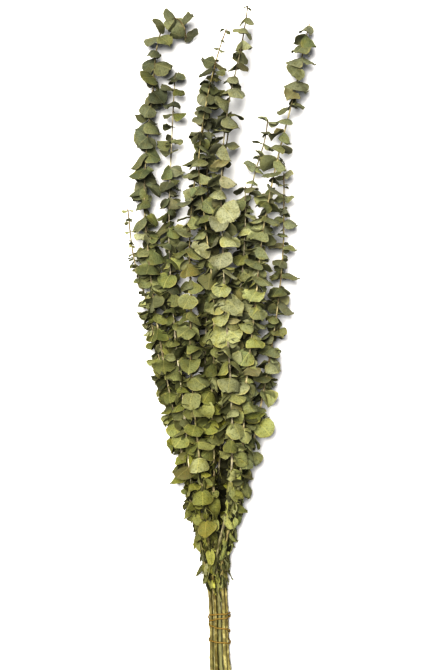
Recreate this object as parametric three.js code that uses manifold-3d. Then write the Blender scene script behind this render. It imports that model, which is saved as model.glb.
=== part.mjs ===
// A bunch of dried baby blue eucalyptus: twelve leafy stems, bound near their cut ends by one rubber band.
// It lies on a table. All sizes are millimetres. +Y runs from the cut ends to the tips and +Z is up.
// Routes are written from the middle of the tie, on the table. At the end the bunch is moved so that the
// origin is under the middle of its own box.
import * as THREE from "three";
import Module from "manifold-3d";

const wasm = await Module();
wasm.setup();

// ---- The rubber band: one loop, wound four times. Each strand's distance along the stems is given on the
// left and on the right, because the strands run aslant.
const BAND_WIDTH = 1.5;
const BAND_THICKNESS = 1.0;
const BAND_GAP = 0.35; // between the stems and the band
const BAND_LEFT = [14, 7.2, 4.6, -12.4];
const BAND_RIGHT = [17.2, 14, -3, -17.3];
const BAND_STEPS = 20; // a turn
const BAND_RETURN_RISE = 1.15; // the strand that runs back under the bundle lies over the others

// ---- The bundle where the stems are bound. Rows are stacked upwards, and each place is a stem's own.
const CUT_HALF_WIDTH = 1.65; // half of a stem's width across its flats at the cut end
const BOTTOM_ROW_HEIGHT = CUT_HALF_WIDTH + BAND_GAP + BAND_THICKNESS + BAND_RETURN_RISE; // above the table
const ROW_RISE = 3.8;
const CUT_END = -50; // the cut ends, behind the tie
const BUNDLE_STATIONS = [CUT_END, -20, 17, 44, 76]; // along the stems, where the bundle's width is set
const BUNDLE_SPREAD = [1.12, 1.0, 1.0, 1.06, 1.45];
const BUNDLE_LEAN = [1.6, 0, -0.4, -2.2, -4.5]; // sideways, as the bare ends lean
const BUNDLE_LIFT = [0.6, 0, 0, 0.5, 2.0]; // the bundle rises towards the leaves

// ---- Stems
const TIP_HALF_WIDTH = 0.6;
const TAPER = 0.8; // below 1, a stem thins sooner than evenly
const BARE_STEP = 24; // between rings along a bare stretch
const LEAVES_START = 45; // no leaf grows below this, above the tie
const TURN_STARTS = 60; // the stems lie square in the bundle, and turn above this
const TURN_ENDS = 150;
const TIP_POINT = 3;

// ---- Leaves. They grow in opposite pairs, and each pair stands crosswise to the next.
const LEAF_LENGTH = 17.5;
const LEAF_WIDTH = 24;
const LEAF_THICKNESS = 1.2; // at the middle of the blade, tapering to its edge
const LEAF_ROOT = 1.6; // height of the root on the stem
const NECK = 1.3; // from the stem's face to where the blade starts
const SMALLEST = 0.76; // a leaf's size, as a share of the usual one
const LARGEST = 1.1;
const FIRST_GAP = 11; // between the first two pairs at the tip
const FULL_GAP = 17.4; // between pairs low on the stem
const GAP_GROWS_OVER = 190;
const LEAF_GROWS_OVER = 150; // from the small leaves at the tip to full ones
const LEAN_CHANGES_OVER = 210; // from the lean at the tip to the lean lower down
const TWIG_LEAF = 0.26; // size of the few leaves on a bare twig at a stem's tip
const CRUSHED_BELOW = 215; // leaves get smaller from here down to where they start, and press to the stems
const CRUSHED_BELOW_ON_TOP = 150; // the same on a stem that lies on top of the others
const CRUSHED_LENGTH = 0.9;
const CRUSHED_WIDTH = 0.24;
const CRUSHED_LEAN = -75;
const FACE_UP_LOW = 38; // how far low leaves at a stem's sides have rolled to face up, in degrees
const FACE_UP_RIGHT = 25; // the same on the stems at the right, where leaves have kept to their sides
const LOST_UNDER = 0.5; // share of the leaves that pointed straight down at the table and have broken off
// The blade's outline, as [share of the length, share of the half width], from the root's left to the tip.
const OUTLINE = [[0.07, 0.66], [0.47, 1.0], [0.89, 0.56]];

// ---- How leaves are bent clear of each other
const CLEARANCE = 0.35;
// A narrow cleft low on the bunch, right of its middle, into which no leaf reaches.
const CLEFT = new THREE.Box3(new THREE.Vector3(0.5, 98, 16), new THREE.Vector3(6, 186, 100));
const MOST_BELOW_TABLE = 6; // a leaf that would reach lower than this is bent another way
const TRIES = 40;
const SHRINK_EVERY = 4; // tries
const SHRINK = 0.9;
const MOST_BITE = 1e-6; // volume of a leaf that may lie in its own stem
const LEAST_FACING = 0.2; // how far each part of a leaf's skin faces out, as a cosine
const SEED = 7;

// Each stem has a row (0 is the lowest) and a place across the bundle, and the route of its leafy part. Its
// leaf pairs are turned about it at the bundle, and turn further by the tip. `gaps` widens the gaps between
// pairs, `leaf` is the size of its leaves and `tipLeaf` of those at its tip, above which `twig` is nearly bare.
// At the tip leaves lean from level with the stem and roll to face up by `tipLean` and `tipRoll`, and lower
// down they lean by `lean`, and roll by `faceUp` where it is given. A stem that is `onTop` of the others keeps
// its full leaves nearer to the tie.
const STEMS = [
  { row: 0, across: -6.45, turn: 50, twist: 40, gaps: 0.92, twig: 34, leaf: 0.85, tipLeaf: 0.3, tipLean: 10,
    tipRoll: 30, lean: -40,
    route: [[-28, 140, 10], [-40, 194, 13], [-54, 248, 16], [-67, 302, 18], [-79, 356, 20], [-92, 400, 22],
      [-99, 456, 24]] },
  { row: 1, across: -8.6, turn: 30, twist: -60, gaps: 1, twig: 0, leaf: 1.1, tipLeaf: 0.85, tipLean: -28,
    tipRoll: 60, lean: -40,
    route: [[-31, 140, 17], [-41, 194, 21], [-52, 248, 24], [-62, 302, 26], [-71, 356, 26], [-77, 410, 24],
      [-81, 464, 22], [-78, 529, 21], [-72, 583, 21], [-67, 632, 21], [-59, 654, 21], [-48, 661, 22],
      [-38, 652, 21], [-36, 639, 18]] },
  { row: 1, across: -4.3, turn: 5, twist: 70, gaps: 1, twig: 0, leaf: 0.9, tipLeaf: 0.8, tipLean: 8,
    tipRoll: 30, lean: -44, onTop: true,
    route: [[-26, 140, 31], [-33, 184, 37], [-39, 248, 38], [-46, 302, 32], [-51, 356, 26], [-54, 410, 23],
      [-54, 464, 21], [-52, 518, 21], [-48, 599, 21]] },
  { row: 2, across: -3.5, turn: -5, twist: -40, gaps: 1, twig: 0, leaf: 1.1, tipLeaf: 0.8, tipLean: -15,
    tipRoll: 30, lean: -43, onTop: true,
    route: [[-16, 140, 38], [-21, 184, 45], [-27, 243, 48], [-31, 302, 45], [-30, 356, 41], [-32, 410, 37],
      [-29, 464, 34], [-21, 518, 31], [-14, 560, 29], [-9, 592, 28]] },
  { row: 0, across: -2.15, turn: 45, twist: 20, gaps: 1.3, twig: 0, leaf: 1.0, tipLeaf: 0.8, tipLean: -10,
    tipRoll: 30, lean: -45,
    route: [[-13, 140, 15], [-15, 194, 18], [-16, 248, 19], [-15, 302, 19], [-13, 356, 19], [-8, 410, 21],
      [0, 464, 24], [7, 518, 26], [13, 560, 26]] },
  { row: 1, across: 0, turn: 20, twist: 60, gaps: 0.9, twig: 42, leaf: 1.0, tipLeaf: 0.82, tipLean: -10,
    tipRoll: 24, lean: -35,
    route: [[-6, 140, 29], [-6, 194, 35], [-8, 248, 37], [-6, 302, 38], [-6, 356, 38], [-11, 405, 40],
      [-17, 454, 41], [-22, 502, 40], [-17, 551, 38], [-8, 596, 34], [0, 626, 30], [8, 650, 27]] },
  { row: 0, across: 2.15, turn: 45, twist: -30, gaps: 1.25, twig: 0, leaf: 0.95, tipLeaf: 0.75, tipLean: -5,
    tipRoll: 35, lean: -40,
    route: [[-3, 140, 13], [1, 194, 16], [3, 248, 17], [3, 302, 17], [0, 356, 16], [-6, 410, 16],
      [-12, 464, 16], [-13, 518, 17], [-9, 572, 19], [-4, 616, 20]] },
  { row: 2, across: 1.0, turn: 4, twist: -45, gaps: 0.96, twig: 10, leaf: 1.1, tipLeaf: 0.68, tipLean: -30,
    tipRoll: 26, lean: -41,
    route: [[10, 140, 39], [14, 194, 48], [13, 248, 54], [10, 302, 57], [6, 356, 58], [4, 410, 58],
      [2, 464, 55], [4, 518, 50], [11, 572, 44], [21, 616, 37], [27, 648, 31], [31, 675, 26]] },
  { row: 1, across: 4.3, turn: 35, twist: 20, gaps: 1.1, twig: 0, leaf: 1.0, tipLeaf: 0.7, tipLean: -20,
    tipRoll: 30, lean: -45,
    route: [[11, 140, 25], [15, 194, 30], [18, 248, 33], [21, 302, 35], [22, 356, 35], [26, 400, 33],
      [28, 440, 31], [28, 480, 28]] },
  { row: 0, across: 6.45, turn: 50, twist: -50, gaps: 1.0, twig: 0, leaf: 0.92, tipLeaf: 0.62, tipLean: 0,
    tipRoll: 12, lean: -30, faceUp: FACE_UP_RIGHT,
    route: [[15, 140, 10], [24, 194, 14], [27, 248, 16], [28, 302, 18], [27, 356, 18], [27, 410, 18],
      [30, 454, 18], [39, 495, 19], [49, 529, 20], [53, 553, 20]] },
  { row: 2, across: 5.5, turn: 12, twist: 55, gaps: 0.94, twig: 0, leaf: 1.06, tipLeaf: 0.84, tipLean: -34,
    tipRoll: 22, lean: -30, faceUp: FACE_UP_RIGHT,
    route: [[18, 140, 30], [25, 194, 39], [27, 248, 44], [33, 302, 46], [39, 356, 46], [45, 416, 42],
      [53, 464, 37], [64, 513, 31], [75, 556, 26], [85, 596, 22], [92, 632, 19], [98, 657, 17]] },
  { row: 1, across: 8.6, turn: 25, twist: 50, gaps: 0.96, twig: 0, leaf: 0.98, tipLeaf: 0.55, tipLean: -10,
    tipRoll: 20, lean: -30, faceUp: FACE_UP_RIGHT,
    route: [[23, 140, 17], [35, 194, 20], [46, 248, 22], [57, 308, 22], [64, 356, 22], [69, 410, 21],
      [70, 464, 20], [70, 495, 19]] },
];

const UP = new THREE.Vector3(0, 0, 1);
const lerp = THREE.MathUtils.lerp;
const smooth = THREE.MathUtils.smoothstep;
const radians = THREE.MathUtils.degToRad;

// A number from 0 to 1 at each call, the same ones for the same seed.
function seededDraw(seed) {
  let state = Math.imul(seed, 2654435761) >>> 0;
  return () => {
    state = (state + 0x6d2b79f5) >>> 0;
    let t = Math.imul(state ^ (state >>> 15), state | 1);
    t ^= t + Math.imul(t ^ (t >>> 7), t | 61);
    return ((t ^ (t >>> 14)) >>> 0) / 4294967296;
  };
}

// The middle line of a stem: through its place in the bundle at each station, then along its own route.
function stemCurve({ row, across, route }) {
  const inBundle = BUNDLE_STATIONS.map((y, i) => new THREE.Vector3(
    BUNDLE_LEAN[i] + across * BUNDLE_SPREAD[i],
    y,
    BOTTOM_ROW_HEIGHT + BUNDLE_LIFT[i] + row * ROW_RISE * BUNDLE_SPREAD[i],
  ));
  return new THREE.CatmullRomCurve3([...inBundle, ...route.map((p) => new THREE.Vector3(...p))]);
}

// Distances of the leaf pairs from the cut end. From the tip down the stem they grow further apart.
function pairDistances(length, leafyFrom, gaps) {
  const found = [];
  let fromTip = TIP_POINT;
  while (length - fromTip > leafyFrom) {
    found.push(length - fromTip);
    fromTip += gaps * lerp(FIRST_GAP, FULL_GAP, Math.min(1, Math.sqrt(fromTip / GAP_GROWS_OVER)));
  }
  return found.reverse();
}

// A square ring of four corners round the middle line, with its directions.
function stemRing(stem, distance) {
  const share = distance / stem.length;
  const centre = stem.curve.getPointAt(share);
  const along = stem.curve.getTangentAt(share);
  const up = UP.clone().addScaledVector(along, -UP.dot(along)).normalize();
  const side = new THREE.Vector3().crossVectors(along, up);
  const turned = smooth(centre.y, TURN_STARTS, TURN_ENDS);
  const angle = turned * radians(lerp(stem.turn, stem.turn + stem.twist, share));
  const halfWidth = lerp(CUT_HALF_WIDTH, TIP_HALF_WIDTH, share ** TAPER);
  const facing = (quarter) => up.clone().multiplyScalar(Math.cos(angle + quarter * Math.PI / 2))
    .addScaledVector(side, Math.sin(angle + quarter * Math.PI / 2));
  const corners = [0, 1, 2, 3].map((k) => centre.clone()
    .addScaledVector(facing(k - 0.5), halfWidth * Math.SQRT2));
  return { centre, along, sideways: side, facing, corners };
}

// Rings up the stem: single ones along the bare part, and two at each pair of leaves, a root's height apart.
function makeStem(options) {
  const stem = { ...options, curve: stemCurve(options) };
  stem.curve.arcLengthDivisions = 600;
  stem.length = stem.curve.getLength();
  const leafyFrom = LEAVES_START - CUT_END;
  stem.pairs = pairDistances(stem.length, leafyFrom, stem.gaps);
  const bareSteps = Math.ceil(stem.pairs[0] / BARE_STEP);
  const bare = Array.from({ length: bareSteps }, (_, i) => (i * stem.pairs[0]) / bareSteps);
  stem.rings = bare.map((d) => stemRing(stem, d));
  for (const d of stem.pairs) {
    stem.rings.push(stemRing(stem, d - LEAF_ROOT / 2), stemRing(stem, d + LEAF_ROOT / 2));
  }
  stem.firstPair = bareSteps;
  stem.point = stem.curve.getPointAt(1);
  return stem;
}

// One place where a leaf grows: a face of the stem between a pair's two rings.
function leafSites(stem, stemIndex) {
  return stem.pairs.flatMap((distance, pair) => [0, 2].map((opposite) => {
    const ring = stem.firstPair + pair * 2;
    const quarter = opposite + (pair % 2);
    const [low, high] = [stem.rings[ring], stem.rings[ring + 1]];
    const next = (quarter + 1) % 4;
    const root = [low.corners[quarter], low.corners[next], high.corners[next], high.corners[quarter]];
    const fromTip = stem.length - distance;
    const down = Math.min(1, fromTip / LEAN_CHANGES_OVER);
    const crushedBelow = stem.onTop ? CRUSHED_BELOW_ON_TOP : CRUSHED_BELOW;
    const crushed = 1 - smooth(low.centre.y, LEAVES_START, crushedBelow);
    const size = fromTip < stem.twig ? TWIG_LEAF
      : stem.leaf * lerp(stem.tipLeaf, 1, Math.min(1, (fromTip - stem.twig) / LEAF_GROWS_OVER));
    const out = low.facing(quarter);
    return {
      stem, stemIndex, ring, quarter, root,
      middle: root.reduce((sum, p) => sum.addScaledVector(p, 0.25), new THREE.Vector3()),
      out,
      along: low.along,
      length: LEAF_LENGTH * size * lerp(1, CRUSHED_LENGTH, crushed),
      halfWidth: (LEAF_WIDTH / 2) * size * lerp(1, CRUSHED_WIDTH, crushed),
      lean: lerp(lerp(stem.tipLean, stem.lean, down), CRUSHED_LEAN, crushed),
      faceUp: out.dot(low.sideways) * lerp(stem.tipRoll, stem.faceUp ?? FACE_UP_LOW, down),
      draw: seededDraw(SEED + stemIndex * 1009 + pair * 31 + opposite),
    };
  }));
}

// Seven draws set how one leaf lies. Each try after the first may stray further from the stem's usual lean.
function leafPose(site, attempt) {
  const stray = 1 + attempt * 0.09;
  const spread = (amount) => (site.draw() + site.draw() - 1) * amount * stray;
  const lean = THREE.MathUtils.clamp(site.lean + spread(32), -76, 60);
  return {
    lean: radians(lean),
    swing: radians(spread(24)),
    roll: radians(site.faceUp + spread(38)),
    droop: 1.2 + spread(3),
    cup: spread(3.6),
    size: lerp(SMALLEST, LARGEST, site.draw()) * SHRINK ** Math.floor(attempt / SHRINK_EVERY),
    wave: Array.from({ length: OUTLINE.length * 2 }, () => (site.draw() - 0.5) * 1.6),
  };
}

// The corners of a leaf: six round its edge, and one above and one below the middle of its blade.
function leafCorners(site, pose) {
  const { out, along, middle } = site;
  const length = site.length * pose.size;
  const halfWidth = site.halfWidth * pose.size;
  const swungOut = out.clone().applyAxisAngle(along, pose.swing);
  const forward = swungOut.clone().multiplyScalar(Math.cos(pose.lean))
    .addScaledVector(along, Math.sin(pose.lean));
  const across = new THREE.Vector3().crossVectors(along, swungOut).applyAxisAngle(forward, pose.roll);
  const normal = new THREE.Vector3().crossVectors(forward, across);
  const base = middle.clone().addScaledVector(out, NECK);
  const at = (forth, sideways, rise) => base.clone().addScaledVector(forward, forth * length)
    .addScaledVector(across, sideways * halfWidth).addScaledVector(normal, (rise * length) / LEAF_LENGTH);
  const left = OUTLINE.map(([forth, wide]) => [forth, -wide]);
  const right = [...OUTLINE].reverse();
  const rim = [...left, ...right].map(([forth, wide], i) => at(
    forth, wide, pose.cup * wide * wide - pose.droop * forth * forth + pose.wave[i],
  ));
  const rise = -pose.droop * 0.2;
  const top = at(0.48, 0, rise).addScaledVector(normal, LEAF_THICKNESS / 2);
  const under = at(0.48, 0, rise).addScaledVector(normal, -LEAF_THICKNESS / 2);
  return pressOnTable({ rim, top, under });
}

const lowestOf = ({ rim, top, under }) => Math.min(...[...rim, top, under].map((p) => p.z));

// What would reach a little into the table lies flat on it. A leaf that would reach further is left as it is.
function pressOnTable(leaf) {
  if (lowestOf(leaf) < -MOST_BELOW_TABLE) return leaf;
  for (const p of leaf.rim) p.z = Math.max(p.z, 0);
  const lift = Math.max(0, -Math.min(leaf.top.z, leaf.under.z));
  leaf.top.z += lift;
  leaf.under.z += lift;
  return leaf;
}

// Triangles of a leaf's skin, from its root's four corners round its edge, without a face over the root.
function leafTriangles([a, b, c, d], { rim, top, under }) {
  const first = rim[0];
  const last = rim.at(-1);
  const pairs = rim.slice(1).map((p, i) => [rim[i], p]);
  return {
    upper: [[top, d, first], ...pairs.map(([p, q]) => [top, p, q]), [top, last, c], [top, c, d]],
    lower: [[under, first, a], ...pairs.map(([p, q]) => [under, q, p]), [under, b, last], [under, a, b]],
    sides: [[first, d, a], [c, last, b]],
  };
}

// A leaf is whole if no part of its skin is folded over, and its neck isn't twisted through itself: the root's
// low corners then lie behind the upper skin that meets it, and its high corners behind the lower skin.
function isWhole({ upper, lower, sides: [left, right] }, { rim, top, under }, [a, b, c, d]) {
  const upwards = top.clone().sub(under).normalize();
  const across = rim.at(-1).clone().sub(rim[0]).normalize();
  const facing = (face, axis) => new THREE.Triangle(...face).getNormal(new THREE.Vector3()).dot(axis);
  const behind = (face, ...corners) => corners.every(
    (corner) => new THREE.Plane().setFromCoplanarPoints(...face).distanceToPoint(corner) < 0,
  );
  const untwisted = behind(upper[0], a) && behind(upper.at(-2), b) && behind(upper.at(-1), a, b)
    && behind(lower[0], d) && behind(lower.at(-2), c) && behind(lower.at(-1), c, d);
  return untwisted && upper.every((face) => facing(face, upwards) > LEAST_FACING)
    && lower.every((face) => facing(face, upwards) < -LEAST_FACING)
    && facing(left, across) < -LEAST_FACING && facing(right, across) > LEAST_FACING;
}

// Triangles of a stem's skin, open over the faces that carry a leaf.
function stemTriangles(stem, carriesLeaf) {
  const { rings, point } = stem;
  const [r0, r1, r2, r3] = rings[0].corners;
  const faces = [[r0, r3, r2], [r0, r2, r1]];
  for (let i = 0; i + 1 < rings.length; i += 1) {
    for (let k = 0; k < 4; k += 1) {
      if (carriesLeaf(i, k)) continue;
      const next = (k + 1) % 4;
      const [a, b] = [rings[i].corners[k], rings[i].corners[next]];
      const [c, d] = [rings[i + 1].corners[next], rings[i + 1].corners[k]];
      faces.push([a, b, c], [a, c, d]);
    }
  }
  const last = rings.at(-1).corners;
  last.forEach((corner, k) => faces.push([corner, last[(k + 1) % 4], point]));
  return faces;
}

// A closed geometry from triangles that share their corner objects.
function geometryOf(faces) {
  const numbers = new Map();
  const positions = [];
  const index = faces.flat().map((corner) => {
    if (!numbers.has(corner)) {
      numbers.set(corner, numbers.size);
      positions.push(corner.x, corner.y, corner.z);
    }
    return numbers.get(corner);
  });
  const geometry = new THREE.BufferGeometry();
  geometry.setAttribute("position", new THREE.Float32BufferAttribute(positions, 3));
  geometry.setIndex(index);
  geometry.computeVertexNormals();
  return geometry;
}

function solidOf(faces) {
  const geometry = geometryOf(faces);
  return new wasm.Manifold(new wasm.Mesh({
    numProp: 3,
    vertProperties: geometry.getAttribute("position").array,
    triVerts: new Uint32Array(geometry.getIndex().array),
  }));
}

// Something that leaves have to clear, with its box and the stem that it belongs to.
function obstacle(solid, points, owner) {
  return { solid, owner, box: new THREE.Box3().setFromPoints(points) };
}

function biteVolume(blade, stem) {
  const bite = blade.intersect(stem);
  const volume = bite.volume();
  bite.delete();
  return volume;
}

// Grows every leaf that finds room, the highest first, each bent until it clears the stems and other leaves.
function growLeaves(stems) {
  const stemObstacles = stems.map((stem) => obstacle(
    solidOf(stemTriangles(stem, () => false)),
    [...stem.rings.flatMap((ring) => ring.corners), stem.point], stem,
  ));
  const grown = [];
  const sites = stems.flatMap(leafSites).filter(({ out, draw }) => out.z > -0.8 || draw() > LOST_UNDER);
  const reach = (site) => site.middle.z + site.out.z * LEAF_LENGTH * 0.5;
  sites.sort((p, q) => reach(q) - reach(p));
  for (const site of sites) {
    for (let attempt = 0; attempt < TRIES; attempt += 1) {
      const leaf = leafCorners(site, leafPose(site, attempt));
      const skin = leafTriangles(site.root, leaf);
      if (!isWhole(skin, leaf, site.root) || lowestOf(leaf) < 0) continue;
      if ([...leaf.rim, leaf.top].some((p) => CLEFT.containsPoint(p))) continue;
      const [a, b, c, d] = site.root;
      const faces = [...skin.upper, ...skin.lower, ...skin.sides];
      const points = [...leaf.rim, leaf.top, leaf.under, ...site.root];
      const blade = obstacle(solidOf([...faces, [a, c, b], [a, d, c]]), points, site.stem);
      const near = blade.box.clone().expandByScalar(CLEARANCE);
      const tooNear = (other) => near.intersectsBox(other.box)
        && blade.solid.minGap(other.solid, CLEARANCE) < CLEARANCE;
      const lifted = blade.solid.translate(...site.out.clone().multiplyScalar(2 * CLEARANCE).toArray());
      const clear = !grown.some(tooNear)
        && !stemObstacles.some((other) => other.owner !== site.stem && tooNear(other))
        && lifted.minGap(stemObstacles[site.stemIndex].solid, CLEARANCE) >= CLEARANCE;
      lifted.delete();
      if (clear && biteVolume(blade.solid, stemObstacles[site.stemIndex].solid) < MOST_BITE) {
        grown.push({ ...blade, site, faces });
        break;
      }
      blade.solid.delete();
    }
  }
  return grown;
}

// The furthest point of the bound stems in each direction round the bundle, and the band that far outside it.
function bandPoint(stems, turn) {
  const angle = turn * 2 * Math.PI;
  const outward = new THREE.Vector3(-Math.cos(angle), 0, Math.sin(angle));
  const bound = stems.flatMap((stem) => stem.rings.slice(0, 4)).filter((ring) => Math.abs(ring.centre.y) < 30);
  const corners = bound.flatMap((ring) => ring.corners);
  const furthest = corners.reduce((best, p) => (p.dot(outward) > best.dot(outward) ? p : best));
  const strand = Math.floor(turn) % BAND_LEFT.length;
  const share = turn - Math.floor(turn);
  const next = (strand + 1) % BAND_LEFT.length;
  const over = share < 0.5;
  const y = over ? lerp(BAND_LEFT[strand], BAND_RIGHT[strand], share * 2)
    : lerp(BAND_RIGHT[strand], BAND_LEFT[next], share * 2 - 1);
  const returning = next === 0 && !over ? smooth(share, 0.5, 0.6) * (1 - smooth(share, 0.94, 1)) : 0;
  const away = BAND_GAP + BAND_THICKNESS / 2 + returning * BAND_RETURN_RISE;
  return { outward, centre: new THREE.Vector3(furthest.x, y, furthest.z).addScaledVector(outward, away) };
}

// The rubber band: a flat section carried once round each turn, and closed on itself.
function rubberBand(stems) {
  const steps = BAND_STEPS * BAND_LEFT.length;
  const rings = Array.from({ length: steps }, (_, i) => {
    const { outward, centre } = bandPoint(stems, i / BAND_STEPS);
    const [w, t] = [BAND_WIDTH / 2, BAND_THICKNESS / 2];
    return [[-w, -t], [w, -t], [w, t], [-w, t]].map(([along, thick]) => centre.clone()
      .addScaledVector(outward, thick).add(new THREE.Vector3(0, along, 0)));
  });
  const faces = rings.flatMap((ring, i) => ring.flatMap((a, k) => {
    const next = rings[(i + 1) % steps];
    const [b, c, d] = [ring[(k + 1) % 4], next[(k + 1) % 4], next[k]];
    return [[a, b, c], [a, c, d]];
  }));
  return geometryOf(faces);
}

const driedLeaf = new THREE.MeshStandardMaterial({ color: 0x8b9163, roughness: 0.85, metalness: 0 });
const rubber = new THREE.MeshStandardMaterial({ color: 0xc8902e, roughness: 0.55, metalness: 0 });

const bunch = new THREE.Group();
bunch.name = "dried_eucalyptus_bunch";

const stems = STEMS.map(makeStem);
const leaves = growLeaves(stems);
stems.forEach((stem, i) => {
  const own = leaves.filter((leaf) => leaf.site.stem === stem);
  const taken = new Set(own.map((leaf) => leaf.site.ring * 4 + leaf.site.quarter));
  const skin = stemTriangles(stem, (ring, quarter) => taken.has(ring * 4 + quarter));
  const mesh = new THREE.Mesh(geometryOf([...skin, ...own.flatMap((leaf) => leaf.faces)]), driedLeaf);
  mesh.name = `leafy_stem_${String(i + 1).padStart(2, "0")}`;
  bunch.add(mesh);
});

const band = new THREE.Mesh(rubberBand(stems), rubber);
band.name = "rubber_band";
bunch.add(band);

const box = new THREE.Box3().setFromObject(bunch);
const centre = box.getCenter(new THREE.Vector3());
bunch.position.set(-centre.x, -centre.y, -box.min.z);

export default bunch;
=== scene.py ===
# A bunch of dried baby blue eucalyptus: twelve leafy stems in a rubber band, lying on a white table.
# The stems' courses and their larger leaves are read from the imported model. Sizes here are in millimetres.
import math

import bmesh
import bpy
import numpy as np
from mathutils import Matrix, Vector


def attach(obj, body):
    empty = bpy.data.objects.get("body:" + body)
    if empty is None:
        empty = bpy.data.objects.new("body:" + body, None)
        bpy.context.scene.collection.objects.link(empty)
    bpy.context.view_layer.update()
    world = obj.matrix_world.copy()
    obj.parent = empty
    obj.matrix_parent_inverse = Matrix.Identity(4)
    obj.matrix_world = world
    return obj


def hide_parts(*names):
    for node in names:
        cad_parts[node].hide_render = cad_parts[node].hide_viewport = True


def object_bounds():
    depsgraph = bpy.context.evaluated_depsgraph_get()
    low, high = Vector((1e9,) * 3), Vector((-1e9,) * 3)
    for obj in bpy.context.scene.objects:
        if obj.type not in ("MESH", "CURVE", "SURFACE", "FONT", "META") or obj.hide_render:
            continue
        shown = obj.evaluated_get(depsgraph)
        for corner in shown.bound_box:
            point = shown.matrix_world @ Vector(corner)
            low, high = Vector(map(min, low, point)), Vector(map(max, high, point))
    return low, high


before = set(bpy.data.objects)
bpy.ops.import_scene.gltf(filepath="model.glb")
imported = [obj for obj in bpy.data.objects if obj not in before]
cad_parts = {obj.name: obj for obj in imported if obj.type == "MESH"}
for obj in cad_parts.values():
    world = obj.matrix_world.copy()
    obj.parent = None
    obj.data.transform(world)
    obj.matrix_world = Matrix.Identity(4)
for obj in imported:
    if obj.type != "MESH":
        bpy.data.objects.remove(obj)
cad_box = [list(corner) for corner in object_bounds()]


# ---- Table, light and camera
# The bunch lies on plain white card. The camera looks straight down on it through a long lens. A large soft
# light hangs above, a little to the upper left, and white walls light the card from all round.
MM = 0.001
CARD_SIZE = 6000
CARD_BELOW = 0.15  # under the lowest leaves
PHOTO_HEIGHT_MM = 723.6  # 670 pixels of 1.08 mm
VIEW_MIDDLE = (-0.4, 6.3)  # from the middle of the bunch
FOCUS_HEIGHT = 25  # the height at which the photograph's scale holds
LENS = 120
SENSOR = 36  # the long side of the picture
SOFTBOX_FROM = (-0.17, 0.2, 1.0)  # towards the light
SOFTBOX_STRENGTH = 8.2
SOFTBOX_SPREAD = 32  # degrees, as seen from the bunch
WALL_LIGHT = 0.24
CONTRAST_GAMMA = 0.6  # below 1, the camera's shadows are deeper


def linear(hex_colour):
    """An sRGB hex colour as linear red, green, blue and alpha."""
    parts = np.array([int(hex_colour[i:i + 2], 16) / 255 for i in (1, 3, 5)])
    parts = np.where(parts <= 0.04045, parts / 12.92, ((parts + 0.055) / 1.055) ** 2.4)
    return (*parts.tolist(), 1.0)


def add(tree, kind, settings=None, links=None):
    """Adds a shader node with its settings. Each entry of links is a plain value, an output, or a node, of
    which it takes the first output in use. A Mix node of colours has its share at 0 and its two colours at
    6 and 7."""
    made = tree.nodes.new("ShaderNode" + kind)
    for name, value in (settings or {}).items():
        setattr(made, name, value)
    for name, value in (links or {}).items():
        if isinstance(value, bpy.types.Node):
            value = next(output for output in value.outputs if output.enabled)
        if isinstance(value, bpy.types.NodeSocket):
            tree.links.new(value, made.inputs[name])
        else:
            made.inputs[name].default_value = value
    return made


def new_material(name):
    """An empty node material, its tree, and its shader joined to its output."""
    material = bpy.data.materials.new(name)
    material.use_nodes = True
    tree = material.node_tree
    tree.nodes.clear()
    shader = add(tree, "BsdfPrincipled")
    add(tree, "OutputMaterial", links={"Surface": shader.outputs[0]})
    return material, tree, shader


card_material, tree, shader = new_material("white card, matte")
shader.inputs["Base Color"].default_value = linear("#dcdee4")
shader.inputs["Roughness"].default_value = 0.9
shader.inputs["Specular IOR Level"].default_value = 0.1

half_card = CARD_SIZE / 2 * MM
card_mesh = bpy.data.meshes.new("card")
card_mesh.from_pydata(
    [(x * half_card, y * half_card, -CARD_BELOW * MM) for x, y in ((-1, -1), (1, -1), (1, 1), (-1, 1))],
    [], [(0, 1, 2, 3)],
)
card_mesh.materials.append(card_material)
card = bpy.data.objects.new("card", card_mesh)
bpy.context.collection.objects.link(card)

world = bpy.data.worlds.new("white walls")
world.use_nodes = True
world.node_tree.nodes["Background"].inputs["Color"].default_value = linear("#f4f6ff")
world.node_tree.nodes["Background"].inputs["Strength"].default_value = WALL_LIGHT
bpy.context.scene.world = world

softbox_light = bpy.data.lights.new("softbox", "SUN")
softbox_light.energy = SOFTBOX_STRENGTH
softbox_light.angle = math.radians(SOFTBOX_SPREAD)
softbox_light.color = linear("#fffaf0")[:3]
softbox = bpy.data.objects.new("softbox", softbox_light)
softbox.rotation_euler = Vector(SOFTBOX_FROM).to_track_quat("Z", "Y").to_euler()
bpy.context.collection.objects.link(softbox)

camera_data = bpy.data.cameras.new("camera")
camera_data.lens = LENS
camera_data.sensor_width = SENSOR
camera = bpy.data.objects.new("camera", camera_data)
camera.location = (
    VIEW_MIDDLE[0] * MM, VIEW_MIDDLE[1] * MM,
    (FOCUS_HEIGHT + PHOTO_HEIGHT_MM * LENS / SENSOR) * MM,
)
bpy.context.collection.objects.link(camera)
bpy.context.scene.camera = camera
bpy.context.scene.view_settings.view_transform = "Standard"
bpy.context.scene.view_settings.gamma = CONTRAST_GAMMA


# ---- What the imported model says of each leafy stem
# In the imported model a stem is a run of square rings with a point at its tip. Each leaf is a thin plate: six
# corners round its edge, one above and one below its middle, and a root that it shares with the stem.
WELD = 0.02  # corners nearer to each other than this are one
RING_CORNERS = 4
PLATE_RIM = 6  # corners round a leaf's edge


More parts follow.
